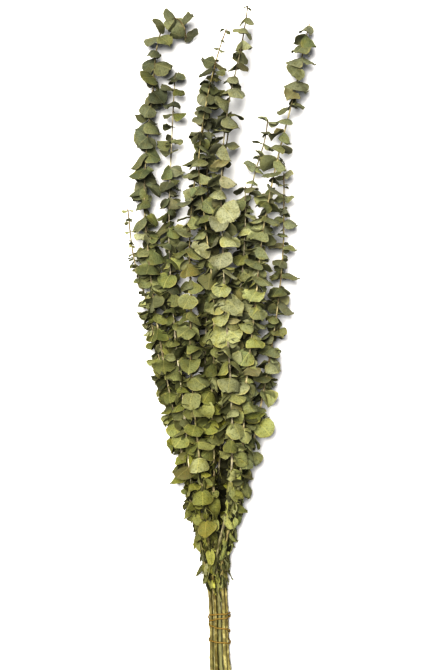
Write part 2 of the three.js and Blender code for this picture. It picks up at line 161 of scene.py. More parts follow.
def skin_of(node):
    """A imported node's corners, in millimetres, and its triangles, with corners at one place made one."""
    solid = bmesh.new()
    solid.from_mesh(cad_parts[node].data)
    bmesh.ops.remove_doubles(solid, verts=solid.verts, dist=WELD * MM)
    merged = bpy.data.meshes.new("merged")
    solid.to_mesh(merged)
    solid.free()
    corners = np.empty(len(merged.vertices) * 3)
    merged.vertices.foreach_get("co", corners)
    triangles = np.empty(len(merged.polygons) * 3, dtype=np.int32)
    merged.polygons.foreach_get("vertices", triangles)
    bpy.data.meshes.remove(merged)
    return corners.reshape(-1, 3) / MM, triangles.reshape(-1, 3)


def unit(vectors):
    """The same directions, one long."""
    return vectors / np.maximum(np.linalg.norm(vectors, axis=-1, keepdims=True), 1e-9)


def read_leafy_stem(node):
    """A stem's rings (n, 4, 3) and tip, and its m leaves: rims (m, 6, 3), middles, facings and roots (m, 3).
    A plate's two middles share its six rim corners and don't touch each other, so counting the corners that
    each two corners share finds every plate."""
    corners, triangles = skin_of(node)
    near = np.zeros((len(corners), len(corners)), dtype=bool)
    near[triangles, np.roll(triangles, 1, axis=1)] = True
    near |= near.T
    shared = near.astype(np.float32) @ near.astype(np.float32)
    above, below = np.nonzero(np.triu((shared > PLATE_RIM - 0.5) & ~near, 1))
    rims = np.nonzero(near[above] & near[below])[1].reshape(-1, PLATE_RIM)

    on_stem = np.ones(len(corners), dtype=bool)
    on_stem[np.concatenate([above, below, rims.ravel()])] = False
    stem_corners = np.nonzero(on_stem)[0]
    rings = [stem_corners[np.argsort(corners[stem_corners, 1])[:RING_CORNERS]]]
    while len(rings[-1]) == RING_CORNERS:
        on_stem[rings[-1]] = False
        rings.append(np.nonzero(near[rings[-1]].any(axis=0) & on_stem)[0])
    tip = corners[rings.pop()[0]]
    rings = np.array(rings)
    order = np.zeros(len(corners))
    order[rings] = np.arange(len(rings))[:, None]

    root_above = np.nonzero(near[above] & ~near[below])[1].reshape(-1, 2)
    root_below = np.nonzero(near[below] & ~near[above])[1].reshape(-1, 2)
    swapped = order[root_above].mean(axis=1) < order[root_below].mean(axis=1)
    above, below = np.where(swapped, below, above), np.where(swapped, above, below)
    middles = (corners[above] + corners[below]) / 2
    facings = unit(corners[above] - corners[below])
    root_corners = np.concatenate([root_above, root_below], axis=1)
    roots = corners[root_corners].mean(axis=1)
    forward = unit(np.cross(np.cross(facings, middles - roots), facings))
    across = np.cross(facings, forward)
    spokes = corners[rims] - middles[:, None]
    angles = np.arctan2((spokes * across[:, None]).sum(-1), (spokes * forward[:, None]).sum(-1))
    rims = np.take_along_axis(rims, np.argsort(angles, axis=1), axis=1)
    return {
        "rings": corners[rings], "tip": tip, "rims": corners[rims], "middles": middles,
        "facings": facings, "roots": roots, "root_rings": order[root_corners].mean(axis=1),
    }


STEMS = sorted(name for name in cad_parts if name.startswith("leafy_stem"))
leafy_stems = {name: read_leafy_stem(name) for name in STEMS}


# ---- The stems
# Each is the end of a young gum branch, cut and dried. It is olive tan and scarred where it is bare, cream
# between the leaves and brown at its thin end. It swells where leaves grow, and its skin is finely wrinkled.
TWIG_SEED = 100
TWIG_SIDES = 12
ROUND = np.linspace(0, 2 * math.pi, TWIG_SIDES, endpoint=False)[None]  # angles of the points round a twig
TWIG_STEP = 1.8
TWIG_FULLNESS = 1.14  # radius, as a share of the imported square's half width
TIP_SLENDER = 0.78  # share of its packed width at the tip
POINT_SHARE = 0.35  # of the last ring's width
SHARP_ANGLE = 50  # degrees: an edge that is bent further stays sharp
SWELLING = 0.17  # of the radius, at a pair of leaves
SWELLING_REACH = 1.5
SWELLING_PAST = 0.8  # beyond the ring that the leaves grow from
RIBS = 4
RIB_DEPTH = 0.05  # of the radius
RIB_TWIST = 90  # the length along the stem in which they turn by a radian
WRINKLES = ((3, 7), (7, -4), (2, 3.1))  # how many waves wind round the stem, and that length for each
WRINKLE_DEPTH = 0.05  # of the radius, as the knobs' is
KNOBS = ((1, 1.7), (-2, 5.3))  # they stand where these two windings cross
KNOB_DEPTH = 0.07
KNOBS_TO = 0.65  # of the stem
KNOBS_FADE = 0.5  # of the stem, before they end
SCARS_FROM = 6  # the cut end
SCARS_CLEAR = 4  # of the first pair of leaves
SCAR_GAP = 13  # between the scars of lost leaves
SCAR_JITTER = 4
SCAR_HEIGHT = 0.6
SCAR_REACH = 1.7
CUT_RINGS = (0.8, 0.36, 0.0)  # radii of the rings on the cut end
CUT_SLANT = 0.45  # how far aslant the stems were cut
CUT_FADE = 6  # the length along the stem over which its skin follows the slant
CUT_EDGE = 0.12  # the cut end stands proud of its rim
GREEN_BARK = 0.9  # how green the greenest stem still is at its bare end
BARE_SHARE = 0.3  # of the stem, over which the green fades
BARK_LIGHTNESS = (0.77, 1.34)
BARK_SATURATION = (0.45, 0.95)
BARK_APART = 40.0  # between the stems' places in the bark's pattern, so that no two are alike


def middle_line(leafy):
    """Distances, points, directions and half widths along a stem, and the distance to each of its rings.
    Between two ring centres it is the cubic that leaves both in the direction of their neighbours."""
    rings = leafy["rings"]
    centres = np.vstack([rings.mean(axis=1), leafy["tip"]])
    halves = np.linalg.norm(rings - centres[:-1, None], axis=2).mean(axis=1) / math.sqrt(2)
    halves = np.append(halves, halves[-1] * POINT_SHARE)
    reach = np.concatenate([[0], np.cumsum(np.linalg.norm(np.diff(centres, axis=0), axis=1))])
    slopes = np.gradient(centres, reach, axis=0)
    along = np.linspace(0, reach[-1], math.ceil(reach[-1] / TWIG_STEP))
    k = np.clip(np.searchsorted(reach, along, side="right") - 1, 0, len(reach) - 2)
    span = (reach[k + 1] - reach[k])[:, None]
    f = (along - reach[k])[:, None] / span
    points = ((2 * f**3 - 3 * f**2 + 1) * centres[k] + (f**3 - 2 * f**2 + f) * span * slopes[k]
              + (3 * f**2 - 2 * f**3) * centres[k + 1] + (f**3 - f**2) * span * slopes[k + 1])
    directions = unit(np.gradient(points, axis=0))
    return along, points, directions, np.interp(along, reach, halves), reach


def bumps(along, places, width):
    """A rounded rise of height 1 at each place."""
    return np.exp(-(((along[:, None] - places) / width) ** 2))


def pair_distances(leafy, reach):
    """The distance along a stem to each of its packed pairs of leaves, where reach is that to each ring."""
    return np.unique(np.round(reach[np.floor(leafy["root_rings"]).astype(int)], 3))


def winding(along, waves, phase):
    """Waves that wind round the stem: the sine of the angle round it times how many there are, plus the
    distance along it over the length of a radian."""
    count, length = waves
    return np.sin(count * ROUND + along[:, None] / length + phase)


def twig_grid(leafy, draw):
    """The stem's skin as rings of points round its middle line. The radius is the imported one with, added to
    it, a swelling at each pair of leaves, low ribs, wrinkles, knobs that fade towards the tip, and opposite
    scars along the bare part, each two of them crosswise to the next."""
    along, points, directions, halves, reach = middle_line(leafy)
    share = along / along[-1]
    pairs = pair_distances(leafy, reach)
    swelling = np.minimum(bumps(along, pairs + SWELLING_PAST, SWELLING_REACH).sum(axis=1), 1)[:, None]
    phases = draw.uniform(0, 2 * math.pi, 6)
    ribs = np.cos(RIBS * ROUND + phases[0] + along[:, None] / RIB_TWIST)
    wrinkles = sum(winding(along, waves, phase) for waves, phase in zip(WRINKLES, phases[1:4]))
    knobs = winding(along, KNOBS[0], phases[5]) * winding(along, KNOBS[1], phases[2])
    knobs = knobs * np.clip((KNOBS_TO - share[:, None]) / KNOBS_FADE, 0, 1)
    scars = np.arange(SCARS_FROM, pairs[0] - SCARS_CLEAR, SCAR_GAP)
    scars = scars + draw.uniform(-SCAR_JITTER, SCAR_JITTER, len(scars))
    quarter = phases[4] + (np.arange(len(scars)) % 2) * math.pi / 2
    two_sides = np.maximum(np.cos(2 * (ROUND[..., None] - quarter)), 0) ** 2
    scarred = (bumps(along, scars, SCAR_REACH)[:, None] * two_sides).sum(axis=2)
    radius = (halves * TWIG_FULLNESS * (1 + (TIP_SLENDER - 1) * share))[:, None]
    radius = radius * (
        1 + SWELLING * swelling + RIB_DEPTH * ribs + WRINKLE_DEPTH * wrinkles + KNOB_DEPTH * knobs)
    radius = radius + SCAR_HEIGHT * scarred
    sideways = unit(np.cross(directions, (0, 0, 1)))
    upwards = np.cross(sideways, directions)
    grid = (points[:, None] + sideways[:, None] * (radius * np.cos(ROUND))[..., None]
            + upwards[:, None] * (radius * np.sin(ROUND))[..., None])
    marks = np.minimum(swelling + scarred, 1)
    slant = draw.uniform(-CUT_SLANT, CUT_SLANT, 2)
    return grid, along, share, marks, radius, slant


def ring_faces(rings, sides):
    """Quads between rings of points that follow each other, facing out."""
    i, k = np.meshgrid(np.arange(rings - 1), np.arange(sides), indexing="ij")
    a, b = i * sides + k, i * sides + (k + 1) % sides
    return np.stack([a, b, b + sides, a + sides], axis=-1).reshape(-1, 4)


def cut_across(grid, along, slant):
    """The skin with its first rings drawn aslant, and the points of the cut end: rings at shares of the
    rim's radius, then the middle, each further out than the last."""
    heart = grid[0].mean(axis=0)
    spokes = grid[0] - heart
    aslant = spokes[:, :1] * slant[0] + spokes[:, 2:] * slant[1]
    fade = np.clip(1 - along / CUT_FADE, 0, 1)[:, None, None]
    grid = grid + fade * aslant[None] * np.array([0, 1, 0])
    spokes = grid[0] - heart
    rings = np.array([heart + spokes * r - (0, CUT_EDGE * (1 - r), 0) for r in CUT_RINGS[:-1]])
    return grid, np.concatenate([rings.reshape(-1, 3), [heart - (0, CUT_EDGE, 0)]])


def twig_faces(stations):
    """A twig's faces and the material slot of each: the skin's quads, three rings of faces on the cut end,
    which are wood, and one face at the tip."""
    skin = ring_faces(stations, TWIG_SIDES)
    cut = stations * TWIG_SIDES
    k = np.arange(TWIG_SIDES)
    after = (k + 1) % TWIG_SIDES
    outer = np.stack([after, k, cut + k, cut + after], axis=1)
    inner = outer[:, [3, 2, 2, 3]] + np.array([0, 0, TWIG_SIDES, TWIG_SIDES])
    middle = np.full(TWIG_SIDES, cut + 2 * TWIG_SIDES)
    innermost = np.stack([cut + TWIG_SIDES + after, cut + TWIG_SIDES + k, middle], axis=1)
    tip = np.arange(cut - TWIG_SIDES, cut)
    faces = [*skin.tolist(), *outer.tolist(), *inner.tolist(), *innermost.tolist(), tip.tolist()]
    return faces, np.concatenate([np.zeros(len(skin)), np.ones(3 * TWIG_SIDES), [0]])


def make_object(name, points, faces, materials, slots=None):
    """A smooth object at the origin, from points in millimetres. Its sharpest edges stay sharp."""
    mesh = bpy.data.meshes.new(name)
    mesh.from_pydata(points * MM, [], faces)
    for material in materials:
        mesh.materials.append(material)
    if slots is not None:
        mesh.polygons.foreach_set("material_index", slots.astype(np.int32))
    mesh.polygons.foreach_set("use_smooth", np.ones(len(mesh.polygons), dtype=bool))
    mesh.set_sharp_from_angle(angle=math.radians(SHARP_ANGLE))
    made = bpy.data.objects.new(name, mesh)
    bpy.context.collection.objects.link(made)
    return made


def store(piece, name, values):
    """Keeps three numbers for each point of a piece, for its material."""
    layer = piece.data.attributes.new(name, "FLOAT_VECTOR", "POINT")
    layer.data.foreach_set("vector", np.ascontiguousarray(values, dtype=np.float32).ravel())


# Dried bark of a young stem: smooth skin over wood, split into long fine fibres, which give it faint
# streaks. It has brown and pale blotches, its scars are darker, and some of the bare ends are still green.
FIBRE_WIDTH = 0.5
FIBRE_LENGTH = 7
BLOTCH = 6
bark, tree, shader = new_material("dried gum bark, smooth")
place = add(tree, "Attribute", {"attribute_name": "bark"}).outputs["Vector"]
age, own = (
    add(tree, "SeparateXYZ", links={0: add(tree, "Attribute", {"attribute_name": stored}).outputs["Vector"]})
    for stored in ("bark_age", "bark_own"))
by_height = add(tree, "ValToRGB", links={0: age.outputs["X"]})
heights = by_height.color_ramp.elements
heights[0].color = linear("#857b4c")
heights[1].color = linear("#7a6843")
for height, colour in ((0.18, "#8b8256"), (0.3, "#aaa588"), (0.65, "#a5a083"), (0.92, "#8b8460")):
    heights.new(height).color = linear(colour)
fibres = add(tree, "TexNoise", links={
    "Vector": add(tree, "Mapping", links={"Vector": place, "Scale": (1 / FIBRE_WIDTH, 1 / FIBRE_LENGTH, 1)}),
    "Scale": 1.0, "Detail": 3.0})
streaks = add(tree, "ValToRGB", links={0: fibres})
streaks.color_ramp.elements[0].position = 0.36
streaks.color_ramp.elements[0].color = linear("#94876a")
streaks.color_ramp.elements[1].position = 0.58
streaked = add(tree, "Mix", {"data_type": "RGBA", "blend_type": "MULTIPLY"}, {
    0: 0.65, 6: by_height, 7: streaks})
blotches = add(tree, "TexNoise", links={"Vector": place, "Scale": 1 / BLOTCH, "Detail": 2.0})
blotched = add(tree, "Mix", {"data_type": "RGBA"}, {
    0: add(tree, "MapRange", links={"Value": blotches, "From Min": 0.52, "From Max": 0.62, "To Max": 0.6}),
    6: streaked, 7: linear("#5c4a33")})
paler = add(tree, "Mix", {"data_type": "RGBA"}, {
    0: add(tree, "MapRange", links={"Value": blotches, "From Min": 0.46, "From Max": 0.36, "To Max": 0.6}),
    6: blotched, 7: linear("#b0a880")})
marked = add(tree, "Mix", {"data_type": "RGBA"}, {
    0: add(tree, "Math", {"operation": "MULTIPLY"}, {0: age.outputs["Y"], 1: 0.55}),
    6: paler, 7: linear("#4d3f22")})
greened = add(tree, "Mix", {"data_type": "RGBA"}, {0: own.outputs["X"], 6: marked, 7: linear("#888a4c")})
bark_shade = add(tree, "HueSaturation", links={
    "Color": greened, "Value": own.outputs["Y"], "Saturation": own.outputs["Z"]})
tree.links.new(bark_shade.outputs[0], shader.inputs["Base Color"])
shader.inputs["Roughness"].default_value = 0.85
shader.inputs["Specular IOR Level"].default_value = 0.15
bark_bump = add(tree, "Bump", links={"Height": fibres, "Strength": 0.7, "Distance": 0.5 * MM})
tree.links.new(bark_bump.outputs[0], shader.inputs["Normal"])

# The cut ends: dry pale wood with a darker pith in the middle and a thin line of bark round it.
GRAIN = 0.4
cut_wood, tree, shader = new_material("dried gum wood, cut across")
on_cut = add(tree, "SeparateXYZ", links={
    0: add(tree, "Attribute", {"attribute_name": "bark_age"}).outputs["Vector"]})
grain = add(tree, "TexNoise", links={
    "Vector": add(tree, "TexCoord").outputs["Object"], "Scale": 1 / (GRAIN * MM), "Detail": 2.0})
from_pith = add(tree, "Math", {"operation": "MULTIPLY_ADD"}, {0: grain, 1: 0.2, 2: on_cut.outputs["Z"]})
wood_rings = add(tree, "ValToRGB", links={0: from_pith})
radii = wood_rings.color_ramp.elements
radii[0].position = 0.12
radii[0].color = linear("#7b6238")
radii[1].color = linear("#5f4f2c")
for from_middle, colour in ((0.3, "#b9a87a"), (0.85, "#ab9662")):
    radii.new(from_middle).color = linear(colour)
tree.links.new(wood_rings.outputs[0], shader.inputs["Base Color"])
shader.inputs["Roughness"].default_value = 0.85

for number, name in enumerate(STEMS):
    draw = np.random.default_rng(TWIG_SEED + number)
    grid, along, share, marks, radius, slant = twig_grid(leafy_stems[name], draw)
    grid, cut_end = cut_across(grid, along, slant)
    points = np.concatenate([grid.reshape(-1, 3), cut_end])
    faces, slots = twig_faces(len(along))
    twig = make_object(f"{name}_twig", points, faces, [bark, cut_wood], slots)
    round_it = np.abs(ROUND - math.pi) * radius
    places = np.stack(np.broadcast_arrays(round_it, along[:, None], number * BARK_APART), axis=-1)
    ages = np.stack(np.broadcast_arrays(share[:, None], marks, 1.0), axis=-1)
    cut_ages = np.zeros((len(cut_end), 3))
    cut_ages[:, 2] = np.repeat(CUT_RINGS, [TWIG_SIDES, TWIG_SIDES, 1])
    owns = np.empty((*marks.shape, 3))
    owns[..., 0] = (GREEN_BARK * (1 - np.clip(share / BARE_SHARE, 0, 1)) * draw.random())[:, None]
    owns[..., 1] = draw.uniform(*BARK_LIGHTNESS)
    owns[..., 2] = draw.uniform(*BARK_SATURATION)
    store(twig, "bark", np.concatenate([places.reshape(-1, 3), np.zeros((len(cut_end), 3))]))
    store(twig, "bark_age", np.concatenate([ages.reshape(-1, 3), cut_ages]))
    store(twig, "bark_own", np.concatenate([owns.reshape(-1, 3), np.ones((len(cut_end), 3))]))
    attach(twig, "root")
    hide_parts(name)


# ---- The leaves
# Each is a stiff kidney-shaped leaf without a stalk, wider than long, with its notched base on the stem.
# Drying has bent it back, waved its edge and curled some of it. It is as thick as card and thins towards its
# edge.
LEAF_SEED = 500
BLADE_ROWS = 7
BLADE_COLUMNS = np.array([-1, -0.78, -0.42, 0, 0.42, 0.78, 1])
BLADE_LENGTH = 17.5  # of a full leaf
BLADE_HALF_WIDTH = 12
BLADE_HALF_THICKNESS = (0.26, 0.11)  # at the midrib and at the edge
MIDRIB_REACH = 1.2  # to each side of it, the leaf is thick
THINNEST = 0.4  # a small leaf's thickness, as a share of a full one's, is at least this
ROOT_FORTH = -0.08  # the root's place along the blade, as a share of its length
BASE_FORTH = -0.06  # the back of the outline
WIDEST_FORTH = 0.38
WIDEST_SPREAD = (-0.09, 0.1)
TIP_FORTH = 1.03
MIDRIB_PAST = 0.015  # the midrib makes a small point beyond the tip
WIDTH_REACH = 1.05
FAN = (0.055, 0.97)  # half turns from the base to the ends of the first row and the last
SQUARE_BASE = 2.35  # 2 is an ellipse, more is squarer and less has pointed corners
SQUARE_SPREAD = 0.6
ROUND_TIP = 1.9
ROUND_SPREAD = 0.35
LOBE = 0.1  # how far the base's two lobes reach behind the root
LOBE_SPREAD = (0.2, 1.4)  # in shares of that
LOBE_WIDE, LOBE_REACH = 0.45, 0.22  # their place and size, as shares of the half width
EDGE_WAVE = 0.05  # how far the edge swings out and in, as a share of the half width
EDGE_WAVES = (2.5, 4.5)
UNEVEN = 0.07  # how much one half is wider and the other narrower, at most
NICK = 0.025
NICKS = 9
FOLD_USUAL = 10  # how far each half is bent back along the midrib, in degrees
FOLD_MOST = 58  # and how much further, or how far forwards, in the most folded leaves
FOLD_CRUSHED = 50  # and how much further in a crushed leaf, which is narrow
FOLD_ROUNDING = 0.5  # of the fold at the midrib, in square millimetres
UNCRUSHED = 1.1  # a leaf is crushed that is narrower than this share of a full one of its length
SQUEEZE = 0.2  # share of its width that it loses by it
CRUMPLE = 3.5  # how much deeper the cockles of a crushed leaf are
CORNER_CURL = 13.0  # how far the widest corners of the blade curl, on a full leaf
CORNER_FROM = 0.35  # of the way from the midrib to the edge
CORNER_FORTH, CORNER_REACH = 0.3, 0.45  # their place and size along the blade
CURL_SPREAD = (-1.2, 0.7)  # below 0 it curls back
TIP_HOOK = 7.0
HOOK_FROM = 0.45  # of the length
HOOK_SPREAD = (-1.1, 0.5)
WAVE_HEIGHT = (0.4, 2.3)  # at the edge
WAVES = (1.8, 3.6)  # radians of them in a radian round the edge
COCKLE_HEIGHT = (0.15, 0.6)
COCKLES_WIDE, COCKLES_FORTH = (4, 8), (5, 10)  # radians of them in the half width and in the length
GROOVE_DEPTH = 0.35  # along the midrib
GROOVE_REACH = 0.09  # of the half width
GROOVE_TO = 1.1  # of the length
PHASE_MOST = 6.3  # waves start anywhere in about one turn, in radians
CURL_ROOM = 2.5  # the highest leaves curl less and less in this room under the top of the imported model
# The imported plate's rim, middle and root on the same blade, as shares of its length and half width.
PLATE = np.array([(0.07, -0.66), (0.47, -1), (0.89, -0.56), (0.89, 0.56), (0.47, 1), (0.07, 0.66),
                  (0.48, 0), (ROOT_FORTH, 0)])


def bend_weights(forth, wide):
    """How much each of the plate's eight known points carries any place on the blade. It bends as a thin
    plate does: with distances r, in centimetres, it is a sum of r squared times log r, and a flat part."""
    scale = np.array([BLADE_LENGTH, BLADE_HALF_WIDTH]) / 10
    known = PLATE * scale
    asked = np.stack([forth, wide], axis=-1) * scale

    def stiffness(points):
        squares = ((points[..., None, :] - known) ** 2).sum(axis=-1)
        return 0.5 * squares * np.log(squares + 1e-12)

    flat = np.hstack([np.ones((len(known), 1)), known])
    whole = np.block([[stiffness(known), flat], [flat.T, np.zeros((3, 3))]])
    row = np.concatenate([stiffness(asked), np.ones((*asked.shape[:-1], 1)), asked], axis=-1)
    return row @ np.linalg.inv(whole)[:, :len(known)]


def blade_outline(each):
    """Places on flat blades, forth in shares of the length and wide in shares of the half width, with their
    hand, their way from the midrib to the edge and their angle from the base. Rows run from the midrib to the
    edge, fanned as the side veins are. The edge is a squared ellipse with two lobes at its base. The function
    each draws a number for every leaf."""
    v = np.linspace(0, 1, BLADE_ROWS + 1)[None, :, None]
    u = BLADE_COLUMNS[None, None]
    hand, reach = np.sign(u), np.abs(u)
    turn = math.pi * (FAN[0] + (FAN[1] - FAN[0]) * v)
    cosine = np.cos(turn)
    backwards = cosine > 0
    widest = WIDEST_FORTH + each(*WIDEST_SPREAD)
    squareness = np.where(backwards, SQUARE_BASE + each(-SQUARE_SPREAD, SQUARE_SPREAD),
                          ROUND_TIP + each(-ROUND_SPREAD, ROUND_SPREAD))
    power = 2 / squareness
    from_widest = np.where(backwards, widest - BASE_FORTH, TIP_FORTH - widest)
    edge_forth = widest - from_widest * np.sign(cosine) * np.abs(cosine) ** power
    edge_wide = WIDTH_REACH * np.sin(turn) ** power
    lobes = LOBE * each(*LOBE_SPREAD) * np.exp(-(((edge_wide - LOBE_WIDE) / LOBE_REACH) ** 2))
    edge_forth = edge_forth - lobes * backwards
    ripple = (1 + EDGE_WAVE * np.sin(hand * turn * each(*EDGE_WAVES) + each(0, PHASE_MOST))
              + UNEVEN * hand * each(-1, 1) + NICK * np.sin(turn * NICKS * hand + each(0, PHASE_MOST)))
    middle_forth = ROOT_FORTH + v * (TIP_FORTH + MIDRIB_PAST - ROOT_FORTH)
    forth = middle_forth + (edge_forth - middle_forth) * reach
    return forth, hand * edge_wide * reach * ripple, hand, reach, turn


def blade_grid(leaves, draw):
    """The leaves' middle surfaces (m, rows, columns, 3), each place's millimetres from the midrib and the
    base and its way to the edge, and the leaves' sizes as shares of a full one's. A blade is bent as its
    packed plate is and folded along its midrib. Then curled corners, a hooked tip, waves along its edge,
    cockles and a groove raise or lower it."""
    rims = leaves["rims"]

    def each(low, high):
        return draw.uniform(low, high, (len(rims), 1, 1))

    forth, wide, hand, reach, turn = blade_outline(each)
    known = np.concatenate([rims, leaves["middles"][:, None], leaves["roots"][:, None]], axis=1)
    points = np.einsum("mvuk,mkx->mvux", bend_weights(forth, wide), known)

    half_width = (np.linalg.norm(rims[:, 4] - rims[:, 1], axis=1) / 2)[:, None, None]
    plate_length = np.linalg.norm((rims[:, 2:4] - rims[:, [0, 5]]).mean(axis=1), axis=1)[:, None, None]
    length = plate_length / (PLATE[2, 0] - PLATE[0, 0])
    size = np.sqrt(half_width / BLADE_HALF_WIDTH * length / BLADE_LENGTH)
    sideways = unit(rims[:, 4] - rims[:, 1])[:, None, None]
    outside = leaves["facings"][:, None, None]
    midrib = points[:, :, [len(BLADE_COLUMNS) // 2]]
    off = ((points - midrib) * sideways).sum(axis=-1, keepdims=True)
    crushed = np.clip(UNCRUSHED - half_width / length * BLADE_LENGTH / BLADE_HALF_WIDTH, 0, 1)
    fold = np.radians(each(-1, 1) ** 3 * FOLD_MOST + FOLD_USUAL + FOLD_CRUSHED * crushed)[..., None]
    squeezed = (1 - SQUEEZE * crushed)[..., None]
    points = (points - sideways * off * (1 - squeezed * np.cos(fold))
              - outside * np.sqrt(off**2 + FOLD_ROUNDING) * np.sin(fold))
    facing = surface_facing(points)
    corner = np.clip(reach - CORNER_FROM, 0, 1) ** 2
    corner = corner * np.exp(-(((forth - CORNER_FORTH) / CORNER_REACH) ** 2))
    curl = CORNER_CURL * corner * np.where(hand < 0, each(*CURL_SPREAD), each(*CURL_SPREAD))
    hook = TIP_HOOK * each(*HOOK_SPREAD) * np.clip(forth - HOOK_FROM, 0, 1) ** 2
    waves = each(*WAVE_HEIGHT) * reach**2 * np.sin(hand * turn * each(*WAVES) + each(0, PHASE_MOST))
    cockles = (each(*COCKLE_HEIGHT) * (1 + CRUMPLE * crushed)
               * np.sin(wide * each(*COCKLES_WIDE) + each(0, PHASE_MOST))
               * np.sin(forth * each(*COCKLES_FORTH) + each(0, PHASE_MOST)))
    groove = -GROOVE_DEPTH * np.exp(-((wide / GROOVE_REACH) ** 2)) * np.clip(GROOVE_TO - forth, 0, 1)
    points = points + facing * ((curl + hook + waves + cockles + groove) * size)[..., None]
    blade = np.stack(np.broadcast_arrays(wide * half_width, forth * length, reach), axis=-1)
    return points, blade, size


def surface_facing(points):
    """The direction that each place of the leaves' upper sides faces."""
    return unit(np.cross(np.gradient(points, axis=1), np.gradient(points, axis=2)))


def leaf_skins(surface, blade, size):
    """The leaves' upper and lower skins (m, 2, rows, columns, 3), half the thickness off the middle surface
    to each side. The thickness falls from the midrib to the edge as a bell curve does. What would be below
    the table is pressed flat on it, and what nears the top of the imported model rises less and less."""
    facing = surface_facing(surface)
    thick, thin = BLADE_HALF_THICKNESS
    half = thin + (thick - thin) * np.exp(-((blade[..., 0] / MIDRIB_REACH) ** 2))
    off = facing * (half * np.clip(size, THINNEST, 1))[..., None]
    skins = np.stack([surface + off, surface - off], axis=1)
    over = np.maximum(skins[..., 2] - (cad_box[1][2] / MM - CURL_ROOM), 0)
    skins[..., 2] = np.maximum(skins[..., 2], 0) + CURL_ROOM * np.tanh(over / CURL_ROOM) - over
    return skins


def leaf_faces(count):
    """Faces of closed leaves: the quads of the upper and the lower skin, and those round their edge."""
    rows, columns = BLADE_ROWS + 1, len(BLADE_COLUMNS)
    number = np.arange(rows * columns).reshape(rows, columns)
    upper = np.stack([number[:-1, :-1], number[1:, :-1], number[1:, 1:], number[:-1, 1:]], axis=-1)
    upper = upper.reshape(-1, 4)
    edge = np.concatenate([number[:-1, 0], number[-1, :-1], number[:0:-1, -1], number[0, :0:-1]])
    after = np.roll(edge, -1)
    under = rows * columns
    sides = np.stack([after, edge, edge + under, after + under], axis=1)
    one = np.concatenate([upper, upper[:, ::-1] + under, sides])
    return (one[None] + 2 * under * np.arange(count)[:, None, None]).reshape(-1, 4)


# More leaves than the imported solids can hold fill the inside of the bunch. They grow between the packed
# pairs, from the sides and the underside of each stem, and are smaller. Where the bunch narrows to the tie,
# many more are pressed along the stems as narrow slivers. The cleft between two stems stays open, with small
# leaves low inside it, in the shade. The colours of the filling leaves and slivers carry painted shade, and
# those of the leaves in the cleft are painted nearly black as shade. The first three rows of numbers have one
# for each stem.
FILL_FROM = (-180, -180, -200, -232, -232, -232, -232, -232, -232, -232, -100, -110)  # up the bunch
FILL_TO = (190, 330, 280, 230, 200, 300, 240, 290, 170, 210, 220, 180)
FILL_SHARE = (0.95, 0.95, 0.9, 0.5, 0.9, 0.65, 0.95, 0.45, 0.8, 0.9, 0.9, 0.8)  # of the places for them
FILL_FADE = 42  # from where they start to where they grow fully
FILL_FULL_TO = 25  # up the bunch, and from there they grow fewer
FILL_BETWEEN = (0.2, 0.5, 0.8)  # of the way from one packed pair to the next
FILL_JITTER = 2
FILL_SIZE = (0.42, 0.8)  # as a share of a full leaf's
FILL_GROWS_OVER = 130  # from the tip
FILL_SMALLEST = 0.3
FILL_ROUND = (80, 170)  # degrees round the stem from its top side
FILL_LEAN = (-65, 15)  # degrees towards the tip
FILL_ROLL = (-55, 55)
FILL_CRUSHED_FROM, FILL_CRUSHED_TO = -105, -240  # where they grow narrower, down the bunch
FILL_CRUSHED = 0.6  # share of their width that they lose there
# A spread of the filling leaves' own tone, with painted shade: most are darker, as the inside of the bunch is
# shaded
FILL_TONE_AND_PAINTED_SHADE = (0.5, 1.06)
FILL_BELOW = 5  # a leaf that would reach further below the table isn't there
NECK = 0.8  # from the stem's skin to a leaf's base
ROOT_OUT = 1.0  # of the stem's middle line
SIDES_RISE, TIP_FALLS = (-3, 3), (-1, 4)  # how much a leaf is bent across and along
CLEFT = (-0.7, 4.8), (-215, -124), (24, 99)  # across, along and above the table: these leaves stay out of it
CLEFT_SIDES = {"leafy_stem_07": 1, "leafy_stem_10": -1}  # the stems beside it, and to which side it is
CLEFT_LEAVES = 15  # from each of these two
CLEFT_PAST = 10  # how far up the bunch they grow past its end
CLEFT_SIZE = (0.6, 0.85)
CLEFT_ROUND = (75, 115)
CLEFT_LEAN = (-50, 0)
CLEFT_ROLL = (60, 115)
# Painted shade: the cleft leaves' colour is darkened nearly to black
CLEFT_PAINTED_SHADE = (0.06, 0.22)
SLIVERS = 70  # on each stem
SLIVERS_FROM, SLIVERS_TO = -262, -135
SLIVER_SIZE = (0.35, 0.75)
SLIVER_NARROW = (0.12, 0.4)  # its width, as a share of a usual leaf's
SLIVER_LEAN = (-88, -68)
SLIVER_ROLL = (-40, 40)
# A spread of the slivers' own tone, with painted shade: many are dark, for the gaps between the pressed leaves
SLIVER_TONE_AND_PAINTED_SHADE = (0.1, 1.08)


